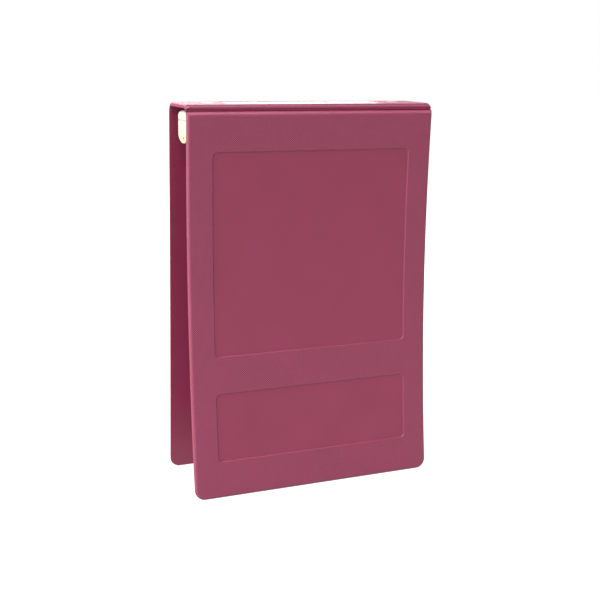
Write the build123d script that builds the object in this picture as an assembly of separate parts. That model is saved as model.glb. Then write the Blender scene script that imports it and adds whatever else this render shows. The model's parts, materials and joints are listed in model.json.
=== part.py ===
"""Top-opening ring album: a moulded wrap-round case whose spine lies on top, with a ring mechanism under it.

The case stands on the lower edges of its two spread covers.
Millimetres. +X runs along the spine, the front cover is on the -Y side and +Z is up.
The origin is on the surface that the covers stand on, under the middle of the spine.
Section drawings use (h, z): h is the distance from the middle plane towards a cover, z is the height.
Inside the ring mechanism, depth is measured down from the spine's inner face.
"""

from build123d import *
import os
from math import asin, atan, cos, degrees, radians, sin, sqrt

os.makedirs("parts", exist_ok=True)

DOWN = (Align.CENTER, Align.CENTER, Align.MAX)
UP = (Align.CENTER, Align.CENTER, Align.MIN)

# case: overall sizes
case_width = 224.0
case_height = 336.0
spine_depth = 57.3
wall = 3.3
cover_lean = 2.6
front_bow = 7.6
rear_bow = 1.1

# case: edges, corners and debossed panels
edge_round = 1.9
corner_radius = 9.5
cut_allowance = 0.01
panel_recess = 0.6
panel_corner_radius = 4.5
panel_side_margin = 21.5
panel_top_margin = 38.5
panel_bottom_margin = 31.3
panel_gap = 31.5
lower_panel_height = 60.3

# spine bends and living hinges
bend_radius = 9.0
hinge_drop = 3.1
hinge_web = 1.2
groove_rise = 6.0
groove_half_angle = 47.0
hinge_clearance = 0.05
score_angle = 63.0
score_depth = 0.7
score_half_angle = 42.0

# label on the spine
label_length = 143.0
label_width = 36.0
label_corner_radius = 2.5
card_thickness = 0.3
window_thickness = 0.5
window_rim = 1.6
label_clearance = 0.1

# ring mechanism: housing
housing_end_inset = 11.0
housing_half_width = 13.4
housing_depth = 7.0
housing_wall = 0.9
housing_side_low = 2.6
housing_side_high = 5.3
lip_lean = 2.6
lip_length = 1.5

# ring mechanism: blades
blade_end_inset = 7.0
blade_thickness = 1.2
blade_pivot_depth = 3.6
blade_rest_tilt = 5.5
blade_end_clearance = 0.15
pivot_clearance = 0.05

# rings
ring_count = 3
ring_pitch = 69.85
ring_inner_radius = 16.0
ring_wire_radius = 1.6
ring_leg_offset = 9.5
ring_leg_bend_radius = 2.5
ring_centre_depth = 22.0
ring_tip_gap = 0.1
ring_leg_end_depth = 2.3
ring_slot_clearance = 0.4
ring_slot_travel = 0.7

# levers
lever_pin_inset = 3.5
lever_pin_radius = 0.9
lever_pin_head_radius = 1.5
lever_pin_head_height = 0.5
lever_hub_wall = 1.05
lever_hub_length = 10.0
lever_finger_reach = 6.5
lever_finger_thickness = 1.0
lever_finger_depth = 0.4
lever_neck_width = 2.6
lever_arm_thickness = 1.0
lever_arm_width = 10.0
lever_end_inset = 4.2
grip_thickness = 2.6
grip_width = 26.0
grip_top_depth = 3.9
grip_tip_depth = 30.0
grip_tip_arc = 5.2
grip_top_radius = 5.5
grip_shoulder_radius = 4.0
grip_edge_round = 0.8
grip_seam_depth = 11.0
grip_seam_width = 0.5
grip_seam_cut = 0.3
arm_tip_margin = 2.4
grip_rivet_radius = 1.1
grip_rivet_side = 3.4
grip_rivet_tip_distance = 4.6
grip_rivet_head = 0.2

# rivets that hold the mechanism to the spine
rivet_end_inset = 8.0
rivet_radius = 2.2
rivet_head_radius = 5.0
rivet_head_height = 1.2
rivet_clinch_radius = 3.3
rivet_clinch_height = 0.9
rivet_notch_clearance = 0.6

# values that follow from the ones above
spine_inner = case_height - wall
bend_h = spine_depth / 2 - bend_radius
bend_z = case_height - bend_radius
hinge_angle = degrees(asin((bend_radius - hinge_drop) / bend_radius))
web_radius = hinge_web / 2
pivot_reach = bend_radius - wall + web_radius
groove_low = groove_rise - groove_half_angle
groove_high = groove_rise + groove_half_angle
lower_panel_top = panel_bottom_margin + lower_panel_height
housing_half_length = case_width / 2 - housing_end_inset
lip_foot = housing_half_width - lip_lean
lip_edge = lip_foot - lip_length
blade_half_length = housing_half_length - blade_end_inset
rivet_offset = blade_half_length - rivet_end_inset
lever_hub_radius = lever_pin_radius + pivot_clearance + lever_hub_wall
blade_pivot_h = housing_half_width - housing_wall - pivot_clearance - blade_thickness / 2
ring_radius = ring_inner_radius + ring_wire_radius
ring_places = [(i - (ring_count - 1) / 2) * ring_pitch for i in range(ring_count)]
lever_pin_x = housing_half_length - lever_pin_inset
lever_face_x = case_width / 2 - lever_end_inset
grip_inner_x = lever_face_x - grip_thickness
arm_mid_x = lever_face_x - grip_thickness / 2


def unit(angle):
    """Unit vector at an angle in degrees, from +h towards +z."""
    return Vector(cos(radians(angle)), sin(radians(angle)))


bend_centre = Vector(bend_h, bend_z)
hinge_axis = bend_centre + unit(hinge_angle) * pivot_reach


def along_x(face, half_length):
    """Prism of a section face, the same length each way from the middle."""
    return extrude(Plane.YZ * face, amount=half_length, both=True)


def mirrored(shape):
    """The same piece on the front side of the middle plane."""
    return mirror(shape, about=Plane.XZ)


def other_end(shape):
    """The same piece at the +X end."""
    return mirror(shape, about=Plane.YZ)


def wedge(apex, start, end, reach):
    """Section face that covers the directions from start to end, seen from apex."""
    middle = (start + end) / 2
    points = [apex] + [apex + unit(a) * reach for a in (start, middle, end)]
    return make_face(Polyline(*points, close=True))


def around_hinge(start, end):
    """Section area around the hinge axis between two directions, up to a full turn apart."""
    middle = (start + end) / 2
    reach = 3 * bend_radius
    return wedge(hinge_axis, start, middle, reach) + wedge(hinge_axis, middle, end, reach)


def from_spine(h, depth):
    """Section point at a depth below the spine's inner face."""
    return (h, spine_inner - depth)


# case ---------------------------------------------------------------------------------------------


def lid_section(inset):
    """Area under the spine's outer surface, down to the bends' centres, moved in by an inset."""
    top = case_height - inset
    side = spine_depth / 2 - inset
    radius = bend_radius - inset
    outline = Polyline((0, bend_z), (side, bend_z))
    outline += CenterArc((bend_h, bend_z), radius, 0, 90)
    outline += Polyline((bend_h, top), (0, top), (0, bend_z))
    return make_face(outline)


def spine_section():
    """Half of the spine's section: flat top, bend and the rounded nose of the living hinge."""
    section = lid_section(0) - lid_section(wall)
    section -= around_hinge(hinge_angle - 180, groove_high)
    return section + Pos(hinge_axis.X, hinge_axis.Y) * Circle(web_radius)


def score_line():
    """Shallow groove along the bend, between the spine's flat top and the living hinge."""
    root = bend_centre + unit(score_angle) * (bend_radius - score_depth)
    groove = wedge(root, score_angle - score_half_angle, score_angle + score_half_angle, wall)
    return along_x(groove, case_width)


def rivet_places():
    """Both rivets' positions along the spine."""
    return (-rivet_offset, rivet_offset)


def spine_shell():
    """Moulded spine with its bends, label recess and rivet holes."""
    half = along_x(spine_section(), case_width / 2)
    spine = half + mirrored(half)
    ends = [e for e in spine.edges().filter_by(Axis.Y) if e.center().Z > case_height - cut_allowance]
    spine = fillet(ends, edge_round)
    spine -= score_line()
    spine -= mirrored(score_line())
    label = RectangleRounded(label_length, label_width, label_corner_radius)
    recess = card_thickness + window_thickness + label_clearance
    spine -= extrude(Plane.XY.offset(case_height) * label, amount=-recess)
    for x in rivet_places():
        spine -= Pos(x, 0, spine_inner) * Cylinder(rivet_radius, 2 * wall)
        spine -= Pos(x, 0, case_height) * Cylinder(rivet_head_radius, rivet_head_height, align=DOWN)
    return spine


class CoverCurve:
    """The cover's outer curve: from the bend, one shallow arc down to the standing surface."""

    def __init__(self, bow):
        self.turn = 4 * degrees(atan(2 * bow / bend_z))
        self.start = cover_lean - self.turn / 2
        self.top = bend_centre + unit(self.start) * bend_radius
        self.chord = self.top.Y / cos(radians(cover_lean))
        self.radius = self.chord / (2 * sin(radians(self.turn / 2)))
        self.centre = self.top + unit(self.start) * self.radius

    def point(self, inset, part):
        """Point on the arc at a part of its length, moved inwards by an inset."""
        return self.centre - unit(self.start + self.turn * part) * (self.radius + inset)

    def arc(self, inset):
        """The arc, moved inwards by an inset and run on a little below the standing surface."""
        return ThreePointArc(*[self.point(inset, part) for part in (0, 0.5, 1 + cut_allowance)])

    def slab(self, thickness):
        """Section between the outer curve and the same curve moved in by a thickness."""
        outer = self.arc(0)
        inner = self.arc(thickness)
        outline = outer + inner + Line(outer @ 0, inner @ 0) + Line(outer @ 1, inner @ 1)
        return make_face(outline)


def cover_section(curve):
    """Section of a cover: seat of the living hinge, lower part of the bend, and the slab."""
    bend = wedge(bend_centre, curve.start, hinge_angle + groove_half_angle, 3 * bend_radius)
    bend &= Pos(bend_h, bend_z) * (Circle(bend_radius) - Circle(bend_radius - wall))
    bend -= around_hinge(groove_low, hinge_angle + 180)
    bend -= Pos(hinge_axis.X, hinge_axis.Y) * Circle(web_radius + hinge_clearance)
    return curve.slab(wall) + bend


def panel_recesses(curve):
    """Two shallow rounded-rectangle recesses that follow the cover's bowed outer face."""
    layer = along_x(curve.slab(panel_recess), case_width / 2)
    width = case_width - 2 * panel_side_margin
    prisms = []
    lower = (panel_bottom_margin, lower_panel_top)
    upper = (lower_panel_top + panel_gap, case_height - panel_top_margin)
    for low, high in (lower, upper):
        outline = RectangleRounded(width, high - low, panel_corner_radius)
        face = Plane.XZ * Pos(0, (low + high) / 2) * outline
        prisms.append(extrude(face, amount=-spine_depth))
    return [layer & prism for prism in prisms]


def cover(bow):
    """One moulded cover, made on the rear side."""
    curve = CoverCurve(bow)
    slab = along_x(cover_section(curve), case_width / 2)
    outline = Rectangle(case_width, case_height, align=(Align.CENTER, Align.MIN))
    outline = fillet(outline.vertices().group_by(Axis.Y)[0], corner_radius)
    slab &= extrude(Plane.XZ * outline, amount=-case_height)
    bottom = [e for e in slab.edges().filter_by(Axis.X) if abs(e.center().Z) < cut_allowance]
    bottom.sort(key=lambda e: e.center().Y)
    slab = fillet(bottom[-1], edge_round)
    for recess in panel_recesses(curve):
        slab -= recess
    return slab


# label ---------------------------------------------------------------------------------------------


def label_card():
    """Blank card that lies in the recess under the window."""
    inset = 2 * window_rim
    card = RectangleRounded(label_length - inset, label_width - inset, label_corner_radius / 2)
    floor = case_height - card_thickness - window_thickness - label_clearance
    return extrude(Plane.XY.offset(floor) * card, amount=card_thickness)


def label_window():
    """Clear cover with a rim that stands on the floor of the recess around the card."""
    gap = 2 * label_clearance
    sheet = RectangleRounded(label_length - gap, label_width - gap, label_corner_radius - label_clearance)
    inset = 2 * window_rim - gap
    inside = RectangleRounded(label_length - inset, label_width - inset, label_corner_radius / 2)
    top = Plane.XY.offset(case_height)
    rim_height = window_thickness + card_thickness + label_clearance
    rim = extrude(top * (sheet - inside), amount=-rim_height)
    return extrude(top * sheet, amount=-window_thickness) + rim


# ring mechanism ------------------------------------------------------------------------------------


def housing_outline():
    """Closed outer outline of the housing: crown, upright sides and lips that turn in to the spine."""
    crown = ThreePointArc(
        from_spine(-housing_half_width, housing_side_high),
        from_spine(0, housing_depth),
        from_spine(housing_half_width, housing_side_high),
    )
    sides = Polyline(
        from_spine(housing_half_width, housing_side_high),
        from_spine(housing_half_width, housing_side_low),
        from_spine(lip_foot, 0),
        from_spine(-lip_foot, 0),
        from_spine(-housing_half_width, housing_side_low),
        from_spine(-housing_half_width, housing_side_high),
    )
    return make_face(crown + sides)


def ring_slot(x):
    """Slot in the crown that a half ring passes through and swings in."""
    reach = ring_wire_radius + ring_slot_clearance
    low = ring_leg_offset - reach
    high = ring_leg_offset + reach + ring_slot_travel
    slot = Box(2 * reach, high - low, housing_depth, align=(Align.CENTER, Align.MIN, Align.MAX))
    return Pos(x, low, spine_inner - housing_side_low) * slot


def mechanism_housing():
    """Sheet-steel channel, open towards the spine between its lips, with ring slots and pin holes."""
    outline = housing_outline()
    section = outline - offset(outline, amount=-housing_wall)
    mouth = Rectangle(2 * lip_edge, 2 * housing_wall)
    section -= Pos(0, spine_inner) * mouth
    housing = along_x(section, housing_half_length)
    for x in ring_places:
        slot = ring_slot(x)
        housing -= slot
        housing -= mirrored(slot)
    for x in (-lever_pin_x, lever_pin_x):
        hole = Rot(90, 0, 0) * Cylinder(lever_pin_radius, 4 * housing_half_width)
        housing -= Pos(x, 0, spine_inner - blade_pivot_depth) * hole
    for x in rivet_places():
        housing -= Pos(x, 0, spine_inner - housing_depth) * Cylinder(rivet_radius, 2 * housing_depth)
    return housing


def ring_leg(x):
    """Straight leg of a half ring, down through its blade."""
    height = ring_centre_depth - ring_leg_end_depth - leg_bend_drop()
    leg = Cylinder(ring_wire_radius, height, align=DOWN)
    return Pos(x, ring_leg_offset, spine_inner - ring_leg_end_depth) * leg


def leg_bend_drop():
    """How far the centre of the leg's bend lies above the ring's centre."""
    return sqrt((ring_radius + ring_leg_bend_radius) ** 2 - (ring_leg_offset + ring_leg_bend_radius) ** 2)


def half_ring(x):
    """Half ring on the rear side: leg, tight bend outwards, then the round part to the tip."""
    bend_depth = ring_centre_depth - leg_bend_drop()
    bend_h_centre = ring_leg_offset + ring_leg_bend_radius
    share = ring_radius / (ring_radius + ring_leg_bend_radius)
    joint = from_spine(bend_h_centre * share, ring_centre_depth - leg_bend_drop() * share)
    start = from_spine(ring_leg_offset, ring_leg_end_depth)
    bend_start = from_spine(ring_leg_offset, bend_depth)
    tip_angle = -90 + degrees(asin(ring_tip_gap / ring_radius))
    joint_angle = 90 - degrees(asin(bend_h_centre * share / ring_radius))
    path = Line(start, bend_start)
    path += TangentArc(bend_start, joint, tangent=(0, -1))
    path += CenterArc(from_spine(0, ring_centre_depth), ring_radius, joint_angle, tip_angle - joint_angle)
    wire = Plane.YZ * path
    profile = Plane(origin=wire.wires()[0] @ 0, z_dir=(0, 0, -1)) * Circle(ring_wire_radius)
    return Pos(x, 0, 0) * sweep(profile, path=wire.wires()[0])


def blade():
    """Rear blade: flat strip with a rounded outer edge that rolls in the housing's side."""
    reach = blade_pivot_h - blade_end_clearance
    strip = Rectangle(reach, blade_thickness, align=(Align.MAX, Align.CENTER))
    section = strip + Circle(blade_thickness / 2)
    tilted = Pos(*from_spine(blade_pivot_h, blade_pivot_depth)) * Rot(0, 0, -blade_rest_tilt) * section
    plate = along_x(tilted, blade_half_length)
    for x in ring_places:
        plate -= ring_leg(x)
    for x in rivet_places():
        plate -= Pos(x, 0, spine_inner) * Cylinder(rivet_radius + rivet_notch_clearance, 4 * housing_depth)
    return plate


def rivet(x):
    """Rivet with a flush head in the spine and a clinched end on the housing's crown."""
    crown = spine_inner - housing_depth
    shank = Pos(x, 0, case_height) * Cylinder(rivet_radius, case_height - crown, align=DOWN)
    head = Pos(x, 0, case_height) * Cylinder(rivet_head_radius, rivet_head_height, align=DOWN)
    clinch = Pos(x, 0, crown) * Cylinder(rivet_clinch_radius, rivet_clinch_height, align=DOWN)
    return shank + head + clinch


# levers: all made at the -X end ----------------------------------------------------------------------


def lever_pin():
    """Pin across the housing, with a small head outside each side."""
    turned = Rot(90, 0, 0)
    pin = turned * Cylinder(lever_pin_radius, 2 * housing_half_width)
    for side in (-1, 1):
        head = turned * Cylinder(lever_pin_head_radius, lever_pin_head_height)
        pin += Pos(0, side * (housing_half_width + lever_pin_head_height / 2), 0) * head
    return Pos(-lever_pin_x, 0, spine_inner - blade_pivot_depth) * pin


def lever_arm():
    """Steel bell crank: hub, finger under the blades, and an arm that turns down into the grip."""
    centre = spine_inner - blade_pivot_depth
    finger_base = spine_inner - lever_finger_depth
    hub = Rot(90, 0, 0) * Cylinder(lever_hub_radius, lever_hub_length)
    neck = Box(lever_neck_width, lever_hub_length, finger_base - centre, align=UP)
    inward_below = (Align.MIN, Align.CENTER, Align.MAX)
    finger = Box(lever_finger_reach, lever_hub_length, lever_finger_thickness, align=inward_below)
    finger = Pos(0, 0, finger_base - centre) * finger
    shelf_length = arm_mid_x - lever_pin_x + lever_arm_thickness / 2
    outward = (Align.MAX, Align.CENTER, Align.CENTER)
    shelf = Box(shelf_length, lever_hub_length, lever_arm_thickness, align=outward)
    drop = grip_tip_depth - arm_tip_margin - blade_pivot_depth + lever_arm_thickness / 2
    arm = Box(lever_arm_thickness, lever_arm_width, drop, align=DOWN)
    arm = Pos(lever_pin_x - arm_mid_x, 0, lever_arm_thickness / 2) * arm
    bore = Rot(90, 0, 0) * Cylinder(lever_pin_radius + pivot_clearance, 2 * lever_hub_length)
    lever = Pos(-lever_pin_x, 0, centre) * (hub + neck + finger + shelf + arm - bore)
    return lever - grip_rivet()


def grip_outline():
    """Tongue outline of the grip, seen from the end: rounded top corners and a shallow arc at the tip."""
    half = grip_width / 2
    shoulder = grip_tip_depth - grip_tip_arc
    outline = Polyline(
        from_spine(half, shoulder),
        from_spine(half, grip_top_depth),
        from_spine(-half, grip_top_depth),
        from_spine(-half, shoulder),
    )
    tip = from_spine(0, grip_tip_depth)
    outline += ThreePointArc(from_spine(-half, shoulder), tip, from_spine(half, shoulder))
    face = make_face(outline)
    corners = face.vertices().sort_by(Axis.Y)
    face = fillet(corners[-2:], grip_top_radius)
    return fillet(face.vertices().sort_by(Axis.Y)[:2], grip_shoulder_radius)


def grip():
    """Moulded grip that is pushed over the lever's arm, with a seam groove across its outer face."""
    body = extrude(Plane.YZ.offset(-lever_face_x) * grip_outline(), amount=grip_thickness)
    body = fillet(body.faces().sort_by(Axis.X)[0].edges(), grip_edge_round)
    seam = Box(2 * grip_seam_cut, 2 * grip_width, grip_seam_width)
    body -= Pos(-lever_face_x, 0, spine_inner - grip_seam_depth) * seam
    return body - lever_arm() - grip_rivet()


def grip_rivet():
    """Small rivet through the grip and the arm near the tip."""
    length = grip_thickness + 2 * grip_rivet_head
    pin = Rot(0, 90, 0) * Cylinder(grip_rivet_radius, length)
    depth = grip_tip_depth - grip_rivet_tip_distance
    return Pos(-arm_mid_x, -grip_rivet_side, spine_inner - depth) * pin


def save(name, shape):
    """Write one node's STEP file."""
    export_step(shape, f"parts/{name}.step")


def main():
    """Build every node and write it."""
    save("spine_shell", spine_shell())
    save("front_cover", mirrored(cover(front_bow)))
    save("rear_cover", cover(rear_bow))
    save("label_card", label_card())
    save("label_window", label_window())
    save("mechanism_housing", mechanism_housing())
    save("rear_blade", blade())
    save("front_blade", mirrored(blade()))
    for place, x in zip(("left", "centre", "right"), ring_places):
        save(f"rear_half_ring_{place}", half_ring(x))
        save(f"front_half_ring_{place}", mirrored(half_ring(x)))
    end_pieces = (
        ("lever_arm", lever_arm()),
        ("lever_grip", grip()),
        ("grip_rivet", grip_rivet()),
        ("lever_pin", lever_pin()),
    )
    for name, piece in end_pieces:
        save(f"left_{name}", piece)
        save(f"right_{name}", other_end(piece))
    for side, x in zip(("left", "right"), rivet_places()):
        save(f"{side}_spine_rivet", rivet(x))


main()
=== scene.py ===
"""Looks of a top-opening ring album: a maroon moulded case, standing like a tent, with rings inside.

Metres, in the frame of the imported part: +X along the spine, front cover on the -Y side, +Z up.
The case pieces are modelled flat, as (x, s, height above the outer face), and then bent to shape.
"""

import json
from math import asin, atan, atan2, cos, hypot, pi, radians, sin, sqrt

import bmesh
import bpy
from mathutils import Matrix, Vector


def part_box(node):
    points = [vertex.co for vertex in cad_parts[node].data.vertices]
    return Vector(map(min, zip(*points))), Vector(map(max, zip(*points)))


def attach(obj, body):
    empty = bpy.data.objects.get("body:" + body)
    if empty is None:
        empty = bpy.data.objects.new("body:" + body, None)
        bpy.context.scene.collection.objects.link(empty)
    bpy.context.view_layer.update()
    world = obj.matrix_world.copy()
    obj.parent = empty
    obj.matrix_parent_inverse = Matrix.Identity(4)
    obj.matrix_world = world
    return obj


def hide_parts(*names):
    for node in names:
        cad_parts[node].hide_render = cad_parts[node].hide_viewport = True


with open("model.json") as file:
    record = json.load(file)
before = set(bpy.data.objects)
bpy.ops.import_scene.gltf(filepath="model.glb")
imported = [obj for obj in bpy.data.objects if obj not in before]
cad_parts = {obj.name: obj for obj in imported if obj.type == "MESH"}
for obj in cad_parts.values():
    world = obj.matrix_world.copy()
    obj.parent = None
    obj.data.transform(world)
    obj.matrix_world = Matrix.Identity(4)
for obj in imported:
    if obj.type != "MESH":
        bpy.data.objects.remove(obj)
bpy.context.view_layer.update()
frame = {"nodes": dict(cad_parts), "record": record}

MM = 0.001

# sizes of the moulded case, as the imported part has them
HALF_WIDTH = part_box("spine_shell")[1].x
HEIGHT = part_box("spine_shell")[1].z
SPINE_HALF_DEPTH = 28.65 * MM
WALL = 3.3 * MM
BEND_RADIUS = 9.0 * MM
COVER_LEAN = radians(2.6)
FRONT_BOW = 7.6 * MM
REAR_BOW = 1.1 * MM
CORNER_RADIUS = 9.5 * MM
PANEL_CORNER = 4.5 * MM
PANEL_HALF_WIDTH = HALF_WIDTH - 21.5 * MM
PANELS = ((31.3 * MM, 91.6 * MM), (123.1 * MM, HEIGHT - 38.5 * MM))

# where the finish is fuller than the part, or adds a round or a slope of its own
EDGE_ROUND = 2.75 * MM
INNER_EDGE_ROUND = 0.5 * MM
PANEL_RECESS = 0.75 * MM
PANEL_WALL = 1.0 * MM
SPINE_LIP_ROUND = 2.0 * MM
COVER_LIP_ROUND = 1.3 * MM

# living hinges and the score line above each
HINGE_DROP = 3.1 * MM
WEB_RADIUS = 0.6 * MM
WEB_OVERLAP = 0.4 * WEB_RADIUS
WEB_END_INSET = 0.4 * MM
WEB_END_ROUND = 0.25 * MM
GROOVE_RISE = radians(6)
GROOVE_HALF_ANGLE = radians(47)
SCORE_ANGLE = radians(63)
SCORE_DEPTH = 0.7 * MM
SCORE_HALF_WIDTH = 0.63 * MM

# label recess and rivet seats
LABEL_HALF = Vector((71.5 * MM, 18.0 * MM))
LABEL_CORNER = 2.5 * MM
LABEL_DEPTH = 0.9 * MM
RIVET_SEAT_RADIUS = 5.0 * MM
RIVET_SEAT_DEPTH = 1.2 * MM

# lever grips: depths below the spine's inner face
GRIP_TOP_DEPTH = 3.9 * MM
GRIP_SEAM_DEPTH = 11.0 * MM

# mesh spacing, tolerances and shading
FINE_STEP = 0.3 * MM
COARSE_STEP = 9.0 * MM
CORNER_STEP = pi / 24
SAME_PLACE = 1e-6
CUT_TOLERANCE = 1e-8
SHARP_ANGLE = radians(35)

# values that follow
BEND_H = SPINE_HALF_DEPTH - BEND_RADIUS
BEND_Z = HEIGHT - BEND_RADIUS
HINGE_ANGLE = asin((BEND_RADIUS - HINGE_DROP) / BEND_RADIUS)
HINGE_REACH = BEND_RADIUS - WALL + WEB_RADIUS
BEND_CENTRE = Vector((BEND_H, BEND_Z))


def unit(angle):
    """Unit vector in a section, at an angle in radians from outwards towards up."""
    return Vector((cos(angle), sin(angle)))


HINGE_AXIS = BEND_CENTRE + unit(HINGE_ANGLE) * HINGE_REACH


def lip_angle(direction):
    """Angle on the bend at which a line from the hinge axis in a direction leaves the outer face."""
    start = HINGE_AXIS - BEND_CENTRE
    along = start.dot(unit(direction))
    reach = -along + sqrt(along * along + BEND_RADIUS * BEND_RADIUS - start.length_squared)
    tip = start + unit(direction) * reach
    return atan2(tip.y, tip.x)


SPINE_LIP = lip_angle(GROOVE_RISE + GROOVE_HALF_ANGLE)
COVER_LIP = lip_angle(GROOVE_RISE - GROOVE_HALF_ANGLE)
SEAT_EDGE = HINGE_ANGLE - WEB_OVERLAP / (BEND_RADIUS - WALL)


class CoverCurve:
    """The section that a cover is bent to: a shallow arc below the spine's bend."""

    def __init__(self, bow):
        self.turn = 4 * atan(2 * bow / BEND_Z)
        self.start = COVER_LEAN - self.turn / 2
        self.top = BEND_CENTRE + unit(self.start) * BEND_RADIUS
        chord = self.top.y / cos(COVER_LEAN)
        self.radius = chord / (2 * sin(self.turn / 2))
        self.centre = self.top + unit(self.start) * self.radius
        self.length = self.radius * self.turn

    def distance(self, z):
        """Distance along the outer face, from the bend down to a height."""
        return (asin((self.centre.y - z) / self.radius) - self.start) * self.radius

    def bend_distance(self, angle):
        """The same measure for a point on the spine's bend: negative, above the cover's arc."""
        return (self.start - angle) * BEND_RADIUS

    def place(self, s, height):
        """Section point at a distance along the outer face and a height above it."""
        if s < 0:
            return BEND_CENTRE + unit(self.start - s / BEND_RADIUS) * (BEND_RADIUS + height)
        return self.centre - unit(self.start + s / self.radius) * (self.radius - height)


def place_on_spine(s, height):
    """Section point of the spine at a distance from its middle line and a height above its face."""
    side = -1 if s < 0 else 1
    beyond = abs(s) - BEND_H
    if beyond < 0:
        return Vector((s, HEIGHT + height))
    point = BEND_CENTRE + unit(pi / 2 - beyond / BEND_RADIUS) * (BEND_RADIUS + height)
    return Vector((side * point.x, point.y))


def spine_distance(angle):
    """Distance from the spine's middle line to an angle on its bend."""
    return BEND_H + (pi / 2 - angle) * BEND_RADIUS


# mesh tools ------------------------------------------------------------------------------------------


def ramp(value):
    """Smooth step from 0 to 1."""
    value = min(max(value, 0.0), 1.0)
    return value * value * (3 - 2 * value)


def inside_rounded(x, y, half_x, half_y, radius):
    """Distance inside a rounded rectangle about the origin, negative outside."""
    dx = abs(x) - half_x + radius
    dy = abs(y) - half_y + radius
    if dx > 0 and dy > 0:
        return radius - hypot(dx, dy)
    return radius - max(dx, dy)


def steps(start, end, size):
    """Values from start to end, evenly spaced by about a size."""
    count = max(1, round((end - start) / size))
    return [start + (end - start) * i / count for i in range(count + 1)]


def fill_lines(fine, low, high):
    """Fine lines, with coarse ones added wherever two neighbours lie far apart."""
    places = sorted(set([low, high] + fine))
    lines = []
    for a, b in zip(places, places[1:]):
        lines += steps(a, b, COARSE_STEP)[:-1] if b - a > COARSE_STEP else [a]
    return [v for v in lines if low < v < high]


def cut(bm, point, normal, clear=False):
    """Cut every face along a plane, and drop what lies beyond it if asked."""
    bmesh.ops.bisect_plane(
        bm, geom=bm.verts[:] + bm.edges[:] + bm.faces[:], dist=CUT_TOLERANCE,
        plane_co=point, plane_no=normal, clear_outer=clear,
    )


def flat_sheet(half_x, low, high, x_lines, s_lines):
    """One flat sheet, cut along lines in both directions."""
    bm = bmesh.new()
    bmesh.ops.create_grid(bm, x_segments=1, y_segments=1, size=1)
    bmesh.ops.scale(bm, vec=(half_x, (high - low) / 2, 1), verts=bm.verts)
    bmesh.ops.translate(bm, vec=(0, (high + low) / 2, 0), verts=bm.verts)
    for x in x_lines:
        cut(bm, (x, 0, 0), (1, 0, 0))
    for s in s_lines:
        cut(bm, (0, s, 0), (0, 1, 0))
    return bm


def thicken(bm):
    """Give a sheet its wall below it, and return the edges of its outer and inner rims."""
    made = bmesh.ops.extrude_face_region(bm, geom=bm.faces[:])
    below = [v for v in made["geom"] if isinstance(v, bmesh.types.BMVert)]
    bmesh.ops.translate(bm, vec=(0, 0, -WALL), verts=below)
    bmesh.ops.recalc_face_normals(bm, faces=bm.faces)
    bm.normal_update()
    rims = ([], [])
    for edge in bm.edges:
        sides = [abs(f.normal.z) < 0.5 for f in edge.link_faces]
        if sides.count(True) == 1:
            rims[edge.verts[0].co.z < -WALL / 2].append(edge)
    return rims


def round_edges(bm, edges, offset, segments, clamp=True):
    """Round edges over, by no more than their shortest neighbour if clamped."""
    bmesh.ops.bevel(
        bm, geom=edges, offset=offset, offset_type="OFFSET", segments=segments, profile=0.5,
        affect="EDGES", material=-1, clamp_overlap=clamp,
    )


def finish_mesh(bm, name, material, body):
    """Turn a bmesh into a shaded piece that rides on a body."""
    mesh = bpy.data.meshes.new(name)
    bm.to_mesh(mesh)
    bm.free()
    mesh.polygons.foreach_set("use_smooth", [True] * len(mesh.polygons))
    mesh.set_sharp_from_angle(angle=SHARP_ANGLE)
    piece = bpy.data.objects.new(name, mesh)
    bpy.context.scene.collection.objects.link(piece)
    mesh.materials.append(material)
    weighted = piece.modifiers.new("even_shading", "WEIGHTED_NORMAL")
    weighted.keep_sharp = True
    weighted.weight = 90
    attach(piece, body)
    return piece


def add_mould_layers(bm, smooth_area, shade_in_creases=lambda co: 0.0):
    """Store each corner's place on the flat moulding, how far the grain is smoothed, and the painted shade
    in the creases.
    """
    uv = bm.loops.layers.uv.new("mould")
    polish = bm.verts.layers.float.new("polish")
    crease_shade = bm.verts.layers.float.new("crease_shade")
    for vert in bm.verts:
        vert[polish] = smooth_area(vert.co)
        vert[crease_shade] = shade_in_creases(vert.co)
    for face in bm.faces:
        for loop in face.loops:
            loop[uv].uv = (loop.vert.co.x, loop.vert.co.y)


# moulded case ----------------------------------------------------------------------------------------


def edge_lines(edge, inwards, reach):
    """Fine lines across a recess edge and on past its corner radius."""
    near = edge - inwards * 3 * FINE_STEP
    far = edge + inwards * reach
    return steps(min(near, far), max(near, far), FINE_STEP)


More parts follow.
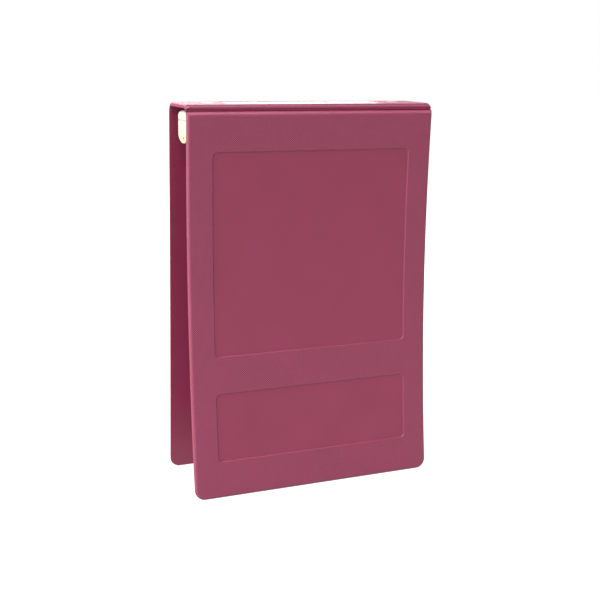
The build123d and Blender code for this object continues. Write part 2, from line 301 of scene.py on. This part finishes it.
def build_cover(name, bow, turn_round, material):
    """A cover with two debossed panels, rolled edges and rounded lower corners."""
    curve = CoverCurve(bow)
    lip = curve.bend_distance(COVER_LIP)
    panels = [(curve.distance(top), curve.distance(bottom)) for bottom, top in PANELS]
    reach = PANEL_CORNER + FINE_STEP
    x_fine = edge_lines(-PANEL_HALF_WIDTH, 1, reach) + edge_lines(PANEL_HALF_WIDTH, -1, reach)
    s_fine = steps(0.0, 3 * COVER_LIP_ROUND, COVER_LIP_ROUND)[1:]
    for top, bottom in panels:
        s_fine += edge_lines(top, 1, reach) + edge_lines(bottom, -1, reach)
    x_lines = fill_lines(x_fine, -PANEL_HALF_WIDTH - 4 * FINE_STEP, PANEL_HALF_WIDTH + 4 * FINE_STEP)
    s_lines = fill_lines(s_fine, lip, curve.length - 1.5 * CORNER_RADIUS)
    bm = flat_sheet(HALF_WIDTH, lip, curve.length, x_lines, s_lines)
    for side in (-1, 1):
        centre = Vector((side * (HALF_WIDTH - CORNER_RADIUS), curve.length - CORNER_RADIUS, 0))
        for angle in steps(0, pi / 2, CORNER_STEP):
            normal = Vector((side * cos(angle), sin(angle), 0))
            cut(bm, centre + normal * CORNER_RADIUS, normal, clear=True)
    outer_rim, inner_rim = thicken(bm)
    for vert in {v for e in inner_rim for v in e.verts if abs(v.co.y - lip) < SAME_PLACE}:
        vert.co.y = curve.bend_distance(SEAT_EDGE)
    round_edges(bm, [e for e in outer_rim if not is_lip(e, lip)], EDGE_ROUND, 6)
    round_edges(bm, [e for e in bm.edges if is_inner_rim(e)], INNER_EDGE_ROUND, 3)
    round_edges(bm, [e for e in bm.edges if is_lip(e, lip)], COVER_LIP_ROUND, 4, clamp=False)
    middles = [((top + bottom) / 2, (bottom - top) / 2) for top, bottom in panels]

    def depth_inside(co):
        depths = [
            inside_rounded(co.x, co.y - middle, PANEL_HALF_WIDTH, half, PANEL_CORNER)
            for middle, half in middles
        ]
        return max(depths)

    def polished(co):
        return 1.0 if co.z < -EDGE_ROUND / 2 else ramp(depth_inside(co) / PANEL_WALL)

    add_mould_layers(bm, polished)
    for vert in bm.verts:
        if vert.co.z > -SAME_PLACE:
            vert.co.z -= PANEL_RECESS * ramp(depth_inside(vert.co) / PANEL_WALL)
    for vert in bm.verts:
        point = curve.place(vert.co.y, vert.co.z)
        vert.co = Vector((vert.co.x, point.x, max(point.y, 0.0)))
    if turn_round:
        bmesh.ops.rotate(bm, cent=(0, 0, 0), matrix=Matrix.Rotation(pi, 3, "Z"), verts=bm.verts)
    piece = finish_mesh(bm, name + "_moulding", material, name)
    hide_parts(name)
    return piece


def is_lip(edge, place):
    """Whether an edge of the outer face lies along the groove of a hinge."""
    return all(abs(v.co.y - place) < SAME_PLACE and v.co.z > -SAME_PLACE for v in edge.verts)


def is_inner_rim(edge):
    """Whether an edge lies on the rim of the inner face."""
    if any(v.co.z > -WALL + SAME_PLACE for v in edge.verts):
        return False
    return [abs(f.normal.z) < 0.5 for f in edge.link_faces].count(True) == 1


def build_spine(material):
    """The spine with its bends, score lines, label recess and rivet seats."""
    lip = spine_distance(SPINE_LIP)
    rivet_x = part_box("right_spine_rivet")[0].x + RIVET_SEAT_RADIUS
    score = spine_distance(SCORE_ANGLE)
    past_round = 1.15 * EDGE_ROUND
    past_seat = 1.1 * RIVET_SEAT_RADIUS
    x_fine = [-HALF_WIDTH + past_round, HALF_WIDTH - past_round]
    s_fine = [-BEND_H, BEND_H]
    for side in (-1, 1):
        seat = side * rivet_x
        groove = side * score
        x_fine += edge_lines(side * LABEL_HALF.x, -side, LABEL_CORNER)
        x_fine += steps(seat - past_seat, seat + past_seat, FINE_STEP)
        s_fine += edge_lines(side * LABEL_HALF.y, -side, LABEL_CORNER)
        s_fine += steps(groove - SCORE_HALF_WIDTH, groove + SCORE_HALF_WIDTH, SCORE_HALF_WIDTH / 2)
        s_fine += [side * s for s in steps(BEND_H, score - SCORE_HALF_WIDTH, 2 * FINE_STEP)[1:-1]]
    s_fine += steps(-past_seat, past_seat, FINE_STEP)
    x_lines = fill_lines(x_fine, -HALF_WIDTH, HALF_WIDTH)
    s_lines = fill_lines(s_fine, -lip, lip)
    bm = flat_sheet(HALF_WIDTH, -lip, lip, x_lines, s_lines)
    outer_rim, inner_rim = thicken(bm)
    for vert in {v for e in inner_rim for v in e.verts if abs(abs(v.co.y) - lip) < SAME_PLACE}:
        vert.co.y = spine_distance(HINGE_ANGLE) * (1 if vert.co.y > 0 else -1)
    ends = [e for e in outer_rim if all(abs(abs(v.co.x) - HALF_WIDTH) < SAME_PLACE for v in e.verts)]
    round_edges(bm, ends, EDGE_ROUND, 6)
    lips = [e for e in bm.edges if is_lip(e, lip) or is_lip(e, -lip)]
    round_edges(bm, lips, SPINE_LIP_ROUND, 5, clamp=False)

    def label_inside(co):
        return inside_rounded(co.x, co.y, LABEL_HALF.x, LABEL_HALF.y, LABEL_CORNER)

    def seat_inside(co):
        return RIVET_SEAT_RADIUS - hypot(abs(co.x) - rivet_x, co.y)

    def polished(co):
        return 1.0 if co.z < -EDGE_ROUND / 2 else ramp(label_inside(co) / FINE_STEP)

    score_floor = -0.9 * EDGE_ROUND

    def off_score(co):
        return abs(abs(co.y) - score) / SCORE_HALF_WIDTH

    # painted shade: how strongly the colour is darkened at a point in the score groove
    def score_shade(co):
        return ramp(1.5 - off_score(co)) if co.z > score_floor else 0.0

    add_mould_layers(bm, polished, score_shade)
    for vert in bm.verts:
        on_top = vert.co.z > -SAME_PLACE
        if vert.co.z > score_floor:
            vert.co.z -= SCORE_DEPTH * max(1 - off_score(vert.co), 0)
        if on_top:
            vert.co.z -= LABEL_DEPTH * ramp(label_inside(vert.co) / FINE_STEP + 1)
            vert.co.z -= RIVET_SEAT_DEPTH * ramp(seat_inside(vert.co) / FINE_STEP + 1)
    for vert in bm.verts:
        point = place_on_spine(vert.co.y, vert.co.z)
        vert.co = Vector((vert.co.x, point.x, point.y))
    piece = finish_mesh(bm, "spine_moulding", material, "spine")
    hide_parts("spine_shell")
    return piece


def build_hinge_bead(name, side, material):
    """Rounded web at the root of a hinge groove."""
    bm = bmesh.new()
    turned = Matrix.Rotation(pi / 2, 4, "Y")
    bmesh.ops.create_cone(
        bm, cap_ends=True, segments=24, radius1=WEB_RADIUS, radius2=WEB_RADIUS,
        depth=2 * (HALF_WIDTH - WEB_END_INSET), matrix=turned,
    )
    caps = [e for e in bm.edges if abs(e.verts[0].co.x - e.verts[1].co.x) < SAME_PLACE]
    round_edges(bm, caps, WEB_END_ROUND, 3)
    add_mould_layers(bm, lambda co: 1.0)
    bmesh.ops.translate(bm, vec=(0, side * HINGE_AXIS.x, HINGE_AXIS.y), verts=bm.verts)
    piece = finish_mesh(bm, name, material, "spine")
    return piece


# ring mechanism, levers and label -------------------------------------------------------------------


def smooth_copy(node, body, material):
    """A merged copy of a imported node, shaded smooth, that stands for it."""
    bm = bmesh.new()
    bm.from_mesh(frame["nodes"][node].data)
    bmesh.ops.remove_doubles(bm, verts=bm.verts, dist=SAME_PLACE)
    piece = finish_mesh(bm, node + "_finished", material, body)
    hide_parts(node)
    return piece


# shader tools ----------------------------------------------------------------------------------------


def node(tree, kind, inputs=None, **settings):
    """Add a shader node, set it up and join its inputs."""
    made = tree.nodes.new("ShaderNode" + kind)
    for key, value in settings.items():
        setattr(made, key, value)
    for key, value in (inputs or {}).items():
        if isinstance(value, bpy.types.NodeSocket):
            tree.links.new(value, made.inputs[key])
        else:
            made.inputs[key].default_value = value
    return made


def math(tree, operation, a, b=0.0, clamp=False):
    """One number from two."""
    return node(tree, "Math", {0: a, 1: b}, operation=operation, use_clamp=clamp).outputs[0]


def mix(tree, share, a, b):
    """A colour between two, by a share."""
    made = node(tree, "Mix", data_type="RGBA")
    for socket, value in ((made.inputs[0], share), (made.inputs[6], a), (made.inputs[7], b)):
        if isinstance(value, bpy.types.NodeSocket):
            tree.links.new(value, socket)
        else:
            socket.default_value = value
    return made.outputs[2]


def spread(tree, value, low, high):
    """Stretch a 0 to 1 value to a range."""
    return node(tree, "MapRange", {"Value": value, "To Min": low, "To Max": high}).outputs["Result"]


def noise(tree, place, scale, detail=2.0, roughness=0.5):
    """Noise from 0 to 1 at a number of features per metre."""
    inputs = {"Vector": place, "Scale": scale, "Detail": detail, "Roughness": roughness}
    return node(tree, "TexNoise", inputs).outputs["Fac"]


def new_group(name, inputs, outputs):
    """An empty shader group, with named number or vector inputs and number outputs."""
    tree = bpy.data.node_groups.new(name, "ShaderNodeTree")
    for label, kind in inputs:
        tree.interface.new_socket(label, in_out="INPUT", socket_type="NodeSocket" + kind)
    for label in outputs:
        tree.interface.new_socket(label, in_out="OUTPUT", socket_type="NodeSocketFloat")
    entry = tree.nodes.new("NodeGroupInput")
    leave = tree.nodes.new("NodeGroupOutput")
    return tree, entry.outputs, leave.inputs


def place_group(tree, group, inputs):
    """Use a shader group in a material, and return its outputs."""
    made = tree.nodes.new("ShaderNodeGroup")
    made.node_tree = group
    for key, value in inputs.items():
        if isinstance(value, bpy.types.NodeSocket):
            tree.links.new(value, made.inputs[key])
        else:
            made.inputs[key].default_value = value
    return made.outputs


def new_material(name, **constants):
    """A material with one Principled shader, and its constant sockets set."""
    material = bpy.data.materials.new(name)
    material.use_nodes = True
    tree = material.node_tree
    shader = tree.nodes["Principled BSDF"]
    for key, value in constants.items():
        shader.inputs[key.replace("_", " ")].default_value = value
    return material, tree, shader


def feed(tree, shader, **sockets):
    """Join values to a shader's sockets."""
    for key, value in sockets.items():
        tree.links.new(value, shader.inputs[key.replace("_", " ")])


def bump(tree, height, distance, strength=1.0):
    """Normal from a height in 0 to 1 and its real depth in metres."""
    made = node(tree, "Bump", {"Height": height, "Distance": distance, "Strength": strength})
    return made.outputs["Normal"]


# shared effects --------------------------------------------------------------------------------------


def diamond_grain_group():
    """Cross-hatched grain of small diamonds, a little uneven, as cut in a mould."""
    tree, given, made = new_group(
        "diamond_grain", (("Place", "Vector"), ("Pitch", "Float"), ("Wander", "Float")), ("Height",),
    )
    wander = node(tree, "TexNoise", {"Vector": given["Place"], "Scale": 420.0, "Detail": 2.0})
    middle = (0.5, 0.5, 0.5)
    centred = node(tree, "VectorMath", {0: wander.outputs["Color"], 1: middle}, operation="SUBTRACT")
    shift = node(tree, "VectorMath", {0: centred.outputs[0], "Scale": given["Wander"]}, operation="SCALE")
    moved = node(tree, "VectorMath", {0: given["Place"], 1: shift.outputs[0]}, operation="ADD")
    parts = node(tree, "SeparateXYZ", {0: moved.outputs[0]})
    ridges = []
    for operation in ("ADD", "SUBTRACT"):
        along = math(tree, operation, parts.outputs["X"], parts.outputs["Y"])
        turns = math(tree, "DIVIDE", along, given["Pitch"])
        wave = math(tree, "SINE", math(tree, "MULTIPLY", turns, 2 * pi))
        ridges.append(spread_signed(tree, wave))
    crossed = math(tree, "MULTIPLY", ridges[0], ridges[1])
    tree.links.new(crossed, made["Height"])
    return tree


def spread_signed(tree, value):
    """Turn a -1 to 1 value into 0 to 1."""
    return math(tree, "MULTIPLY", math(tree, "ADD", value, 1.0), 0.5)


def mottle_group():
    """Slow and fine variation of one finish, from 0 to 1."""
    tree, given, made = new_group(
        "mottle", (("Place", "Vector"), ("Slow", "Float"), ("Fine", "Float")), ("Cloud", "Speck"),
    )
    tree.links.new(noise(tree, given["Place"], given["Slow"], 3.0), made["Cloud"])
    tree.links.new(noise(tree, given["Place"], given["Fine"], 4.0, 0.65), made["Speck"])
    return tree


def scuff_group():
    """Fine scratches running one way, from 0 for clear metal to 1 in a scratch."""
    tree, given, made = new_group(
        "scuffs", (("Place", "Vector"), ("Stretch", "Vector"), ("Share", "Float")), ("Scratch",),
    )
    drawn = node(tree, "VectorMath", {0: given["Place"], 1: given["Stretch"]}, operation="MULTIPLY")
    streaks = noise(tree, drawn.outputs[0], 1.0, 5.0, 0.7)
    edge = math(tree, "SUBTRACT", 1.0, given["Share"])
    mask = node(tree, "MapRange", {"Value": streaks, "From Min": edge, "From Max": 1.0})
    tree.links.new(mask.outputs["Result"], made["Scratch"])
    return tree


GRAIN = diamond_grain_group()
MOTTLE = mottle_group()
SCUFFS = scuff_group()


# materials -------------------------------------------------------------------------------------------


def object_place(tree):
    """Object coordinates."""
    return node(tree, "TexCoord").outputs["Object"]


def maroon_plastic():
    """Maroon moulded plastic: diamond grain, but smooth in the panels and inside."""
    material, tree, shader = new_material("maroon_moulded_plastic", IOR=1.46)
    mould = node(tree, "UVMap", uv_map="mould").outputs["UV"]
    polish = node(tree, "Attribute", attribute_name="polish").outputs["Fac"]
    grain = place_group(tree, GRAIN, {"Place": mould, "Pitch": 1.9 * MM, "Wander": 0.5 * MM})["Height"]
    mottle = place_group(tree, MOTTLE, {"Place": mould, "Slow": 28.0, "Fine": 1900.0})
    grained = math(tree, "SUBTRACT", 1.0, polish)
    cut_grain = math(tree, "MULTIPLY", grain, grained)
    smooth = mix(tree, mottle["Cloud"], (0.122, 0.007, 0.028, 1), (0.142, 0.010, 0.038, 1))
    # painted shade and highlight: the grain's valleys are coloured darker and its crests lighter, standing
    # in for how light falls across the grain
    shaded_valley = mix(tree, mottle["Cloud"], (0.074, 0.004, 0.020, 1), (0.100, 0.007, 0.028, 1))
    lit_crest = mix(tree, mottle["Speck"], (0.250, 0.024, 0.070, 1), (0.310, 0.038, 0.096, 1))
    painted_grain_colour = mix(tree, grain, shaded_valley, lit_crest)
    colour = mix(tree, polish, painted_grain_colour, smooth)
    # painted shade: the score grooves are coloured towards near black, standing in for the shade that falls
    # in them
    crease_shade = node(tree, "Attribute", attribute_name="crease_shade").outputs["Fac"]
    colour = mix(tree, math(tree, "MULTIPLY", crease_shade, 0.7), colour, (0.030, 0.003, 0.010, 1))
    uneven = spread(tree, mottle["Speck"], 0.40, 0.52)
    rough = math(tree, "ADD", uneven, math(tree, "MULTIPLY", grained, 0.08))
    pebble = math(tree, "MULTIPLY", mottle["Speck"], 0.22)
    height = math(tree, "ADD", cut_grain, pebble)
    feed(tree, shader, Base_Color=colour, Roughness=rough, Normal=bump(tree, height, 0.16 * MM))
    return material


def ivory_plastic():
    """Glossy ivory plastic, a little yellower towards its lower end."""
    material, tree, shader = new_material(
        "ivory_moulded_plastic", IOR=1.5, Subsurface_Weight=0.08, Subsurface_Scale=1.0 * MM,
    )
    place = object_place(tree)
    mottle = place_group(tree, MOTTLE, {"Place": place, "Slow": 60.0, "Fine": 1500.0})
    low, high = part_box("left_lever_grip")
    height = node(tree, "SeparateXYZ", {0: place}).outputs["Z"]
    seam_height = high.z + GRIP_TOP_DEPTH - GRIP_SEAM_DEPTH
    from_seam = math(tree, "ABSOLUTE", math(tree, "SUBTRACT", height, seam_height))
    seam = node(tree, "MapRange", {"Value": from_seam, "From Min": 0.7 * MM, "From Max": 0.3 * MM})
    # the colour turns yellower towards the lower end of the grip
    lower_yellowing_range = {"Value": height, "From Min": high.z - 9 * MM, "From Max": low.z + 6 * MM}
    lower_yellowing = node(tree, "MapRange", lower_yellowing_range)
    plain_ivory = mix(tree, mottle["Cloud"], (0.39, 0.38, 0.30, 1), (0.36, 0.35, 0.27, 1))
    yellow = (0.38, 0.345, 0.13, 1)
    colour = mix(tree, math(tree, "MULTIPLY", lower_yellowing.outputs["Result"], 0.6), plain_ivory, yellow)
    colour = mix(tree, math(tree, "MULTIPLY", seam.outputs["Result"], 0.85), colour, (0.20, 0.15, 0.12, 1))
    rough = spread(tree, mottle["Speck"], 0.24, 0.38)
    pebble = bump(tree, mottle["Speck"], 0.02 * MM, 0.5)
    feed(tree, shader, Base_Color=colour, Roughness=rough, Normal=pebble)
    return material


def plated_steel(name, colours, roughness, stretch, share):
    """Plated or zinc-coated steel with fine scuffs along the way it was drawn or wiped."""
    material, tree, shader = new_material(name)
    place = object_place(tree)
    mottle = place_group(tree, MOTTLE, {"Place": place, "Slow": 90.0, "Fine": 2400.0})
    scratch = place_group(tree, SCUFFS, {"Place": place, "Stretch": stretch, "Share": share})["Scratch"]
    colour = mix(tree, mottle["Cloud"], *colours)
    colour = mix(tree, scratch, colour, [0.7 * c for c in colours[1][:3]] + [1])
    uneven = spread(tree, mottle["Speck"], *roughness)
    rough = math(tree, "ADD", uneven, math(tree, "MULTIPLY", scratch, 0.25))
    metal = math(tree, "SUBTRACT", 1.0, math(tree, "MULTIPLY", scratch, 0.1))
    height = math(tree, "SUBTRACT", math(tree, "MULTIPLY", mottle["Speck"], 0.3), scratch)
    normal = bump(tree, height, 0.01 * MM, 0.4)
    feed(tree, shader, Base_Color=colour, Roughness=rough, Metallic=metal, Normal=normal)
    return material


def white_card():
    """Matt white card with a faint fibre."""
    material, tree, shader = new_material("white_card", IOR=1.45)
    place = object_place(tree)
    mottle = place_group(tree, MOTTLE, {"Place": place, "Slow": 120.0, "Fine": 2600.0})
    fibres = {"Place": place, "Stretch": (400.0, 3000.0, 3000.0), "Share": 0.5}
    fibre = place_group(tree, SCUFFS, fibres)["Scratch"]
    colour = mix(tree, mottle["Cloud"], (0.88, 0.88, 0.87, 1), (0.83, 0.83, 0.81, 1))
    colour = mix(tree, math(tree, "MULTIPLY", fibre, 0.5), colour, (0.74, 0.73, 0.70, 1))
    rough = spread(tree, mottle["Speck"], 0.75, 0.95)
    feed(tree, shader, Base_Color=colour, Roughness=rough, Normal=bump(tree, fibre, 0.02 * MM, 0.4))
    return material


def clear_plastic():
    """Clear label window with faint handling haze."""
    material, tree, shader = new_material("clear_plastic", IOR=1.46, Alpha=0.12)
    place = object_place(tree)
    mottle = place_group(tree, MOTTLE, {"Place": place, "Slow": 70.0, "Fine": 900.0})
    wiping = {"Place": place, "Stretch": (60.0, 2500.0, 60.0), "Share": 0.35}
    scratch = place_group(tree, SCUFFS, wiping)["Scratch"]
    haze = spread(tree, mottle["Cloud"], 0.02, 0.10)
    rough = math(tree, "ADD", haze, math(tree, "MULTIPLY", scratch, 0.2))
    colour = mix(tree, mottle["Speck"], (0.96, 0.97, 0.98, 1), (0.92, 0.94, 0.95, 1))
    feed(tree, shader, Base_Color=colour, Roughness=rough)
    return material


def studio_floor():
    """Plain pale floor, lit from below as a light table is, so that shadows stay faint."""
    material, tree, shader = new_material(
        "pale_floor", IOR=1.3, Emission_Color=(1, 1, 1, 1), Emission_Strength=0.75,
    )
    mottle = place_group(tree, MOTTLE, {"Place": object_place(tree), "Slow": 1.5, "Fine": 60.0})
    colour = mix(tree, mottle["Cloud"], (0.24, 0.24, 0.24, 1), (0.26, 0.26, 0.26, 1))
    feed(tree, shader, Base_Color=colour, Roughness=spread(tree, mottle["Speck"], 0.85, 0.95))
    return material


MATERIALS = {
    "case_plastic": maroon_plastic(),
    "grip_plastic": ivory_plastic(),
    "ring_plating": plated_steel(
        "bright_nickel_wire",
        ((0.80, 0.79, 0.77, 1), (0.74, 0.73, 0.71, 1)),
        roughness=(0.10, 0.18),
        stretch=(300.0, 900.0, 900.0),
        share=0.30,
    ),
    "housing_plating": plated_steel(
        "bright_nickel_sheet",
        ((0.78, 0.78, 0.78, 1), (0.70, 0.70, 0.71, 1)),
        roughness=(0.14, 0.24),
        stretch=(40.0, 1800.0, 1800.0),
        share=0.36,
    ),
    "mechanism_steel": plated_steel(
        "zinc_plated_steel",
        ((0.60, 0.60, 0.62, 1), (0.50, 0.51, 0.54, 1)),
        roughness=(0.28, 0.42),
        stretch=(60.0, 1500.0, 1500.0),
        share=0.42,
    ),
    "rivet_steel": plated_steel(
        "rivet_steel",
        ((0.64, 0.63, 0.61, 1), (0.54, 0.53, 0.51, 1)),
        roughness=(0.24, 0.38),
        stretch=(700.0, 700.0, 700.0),
        share=0.38,
    ),
    "label_card": white_card(),
    "clear_plastic": clear_plastic(),
}
DULL_RIVET = plated_steel(
    "dull_zinc_rivet",
    ((0.07, 0.068, 0.065, 1), (0.05, 0.048, 0.046, 1)),
    roughness=(0.45, 0.60),
    stretch=(900.0, 900.0, 900.0),
    share=0.4,
)


# studio ----------------------------------------------------------------------------------------------


def build_floor():
    """Floor under the case, wide enough to fill the view."""
    bm = bmesh.new()
    bmesh.ops.create_grid(bm, x_segments=1, y_segments=1, size=6)
    mesh = bpy.data.meshes.new("studio_floor")
    bm.to_mesh(mesh)
    bm.free()
    floor = bpy.data.objects.new("studio_floor", mesh)
    bpy.context.scene.collection.objects.link(floor)
    mesh.materials.append(studio_floor())


def area_light(name, place, size, power, target):
    """Large soft light aimed at a point."""
    light = bpy.data.lights.new(name, "AREA")
    light.shape = "DISK"
    light.size = size
    light.energy = power
    lamp = bpy.data.objects.new(name, light)
    bpy.context.scene.collection.objects.link(lamp)
    lamp.location = place
    lamp.rotation_euler = (Vector(target) - Vector(place)).to_track_quat("-Z", "Y").to_euler()


def soft_sun(name, towards, softness, strength):
    """Even light over the whole floor, from a direction, with soft shadows."""
    light = bpy.data.lights.new(name, "SUN")
    light.angle = softness
    light.energy = strength
    lamp = bpy.data.objects.new(name, light)
    bpy.context.scene.collection.objects.link(lamp)
    lamp.rotation_euler = Vector(towards).to_track_quat("-Z", "Y").to_euler()


def white_world(seen, cast):
    """White surroundings, seen at one strength and casting light at another."""
    world = bpy.data.worlds.new("white_surroundings")
    world.use_nodes = True
    tree = world.node_tree
    background = tree.nodes["Background"]
    background.inputs["Color"].default_value = (1, 1, 1, 1)
    is_seen = node(tree, "LightPath").outputs["Is Camera Ray"]
    tree.links.new(spread(tree, is_seen, cast, seen), background.inputs["Strength"])
    bpy.context.scene.world = world


def place_camera(place, heading, fall, roll, lens):
    """Camera at a place, turned by a heading from +Y towards +X, a fall below level and a roll."""
    data = bpy.data.cameras.new("camera")
    data.sensor_width = 36
    data.lens = lens
    data.clip_start = 0.01
    camera = bpy.data.objects.new("camera", data)
    bpy.context.scene.collection.objects.link(camera)
    turned = Matrix.Rotation(-heading, 4, "Z")
    tilted = Matrix.Rotation(pi / 2 - fall, 4, "X")
    rolled = Matrix.Rotation(-roll, 4, "Z")
    camera.matrix_world = Matrix.Translation(place) @ turned @ tilted @ rolled
    bpy.context.scene.camera = camera


# the scene ---------------------------------------------------------------------------------------------

MOULDED = ("spine_shell", "front_cover", "rear_cover")
case = MATERIALS["case_plastic"]
build_spine(case)
build_cover("front_cover", FRONT_BOW, True, case)
build_cover("rear_cover", REAR_BOW, False, case)
build_hinge_bead("front_hinge_bead", -1, case)
build_hinge_bead("rear_hinge_bead", 1, case)

slot_of = {s["node"]: s["material_slot"] for s in frame["record"]["subparts"]}
for body, members in frame["record"]["behaviour"]["bodies"].items():
    for member in members:
        if member not in MOULDED:
            finish = DULL_RIVET if member.endswith("grip_rivet") else MATERIALS[slot_of[member]]
            smooth_copy(member, body, finish)

build_floor()
white_world(seen=1.0, cast=0.65)
spine_top = (0.0, 0.0, HEIGHT)
soft_sun("key_light", towards=(0.46, 0.56, -0.72), softness=radians(38), strength=4.0)
area_light("side_light", (-1.7, -0.1, 0.9), size=0.9, power=62.0, target=(0.0, 0.0, 0.6 * HEIGHT))
area_light("overhead_light", (0.0, 0.05, 1.7), size=0.9, power=26.0, target=spine_top)
area_light("back_light", (0.0, 1.6, 1.5), size=1.4, power=50.0, target=spine_top)
place_camera(
    (-0.3444, -0.8380, 0.3768), heading=radians(22.33), fall=radians(13.43), roll=radians(-0.81), lens=61.92,
)
bpy.context.scene.view_settings.view_transform = "Standard"
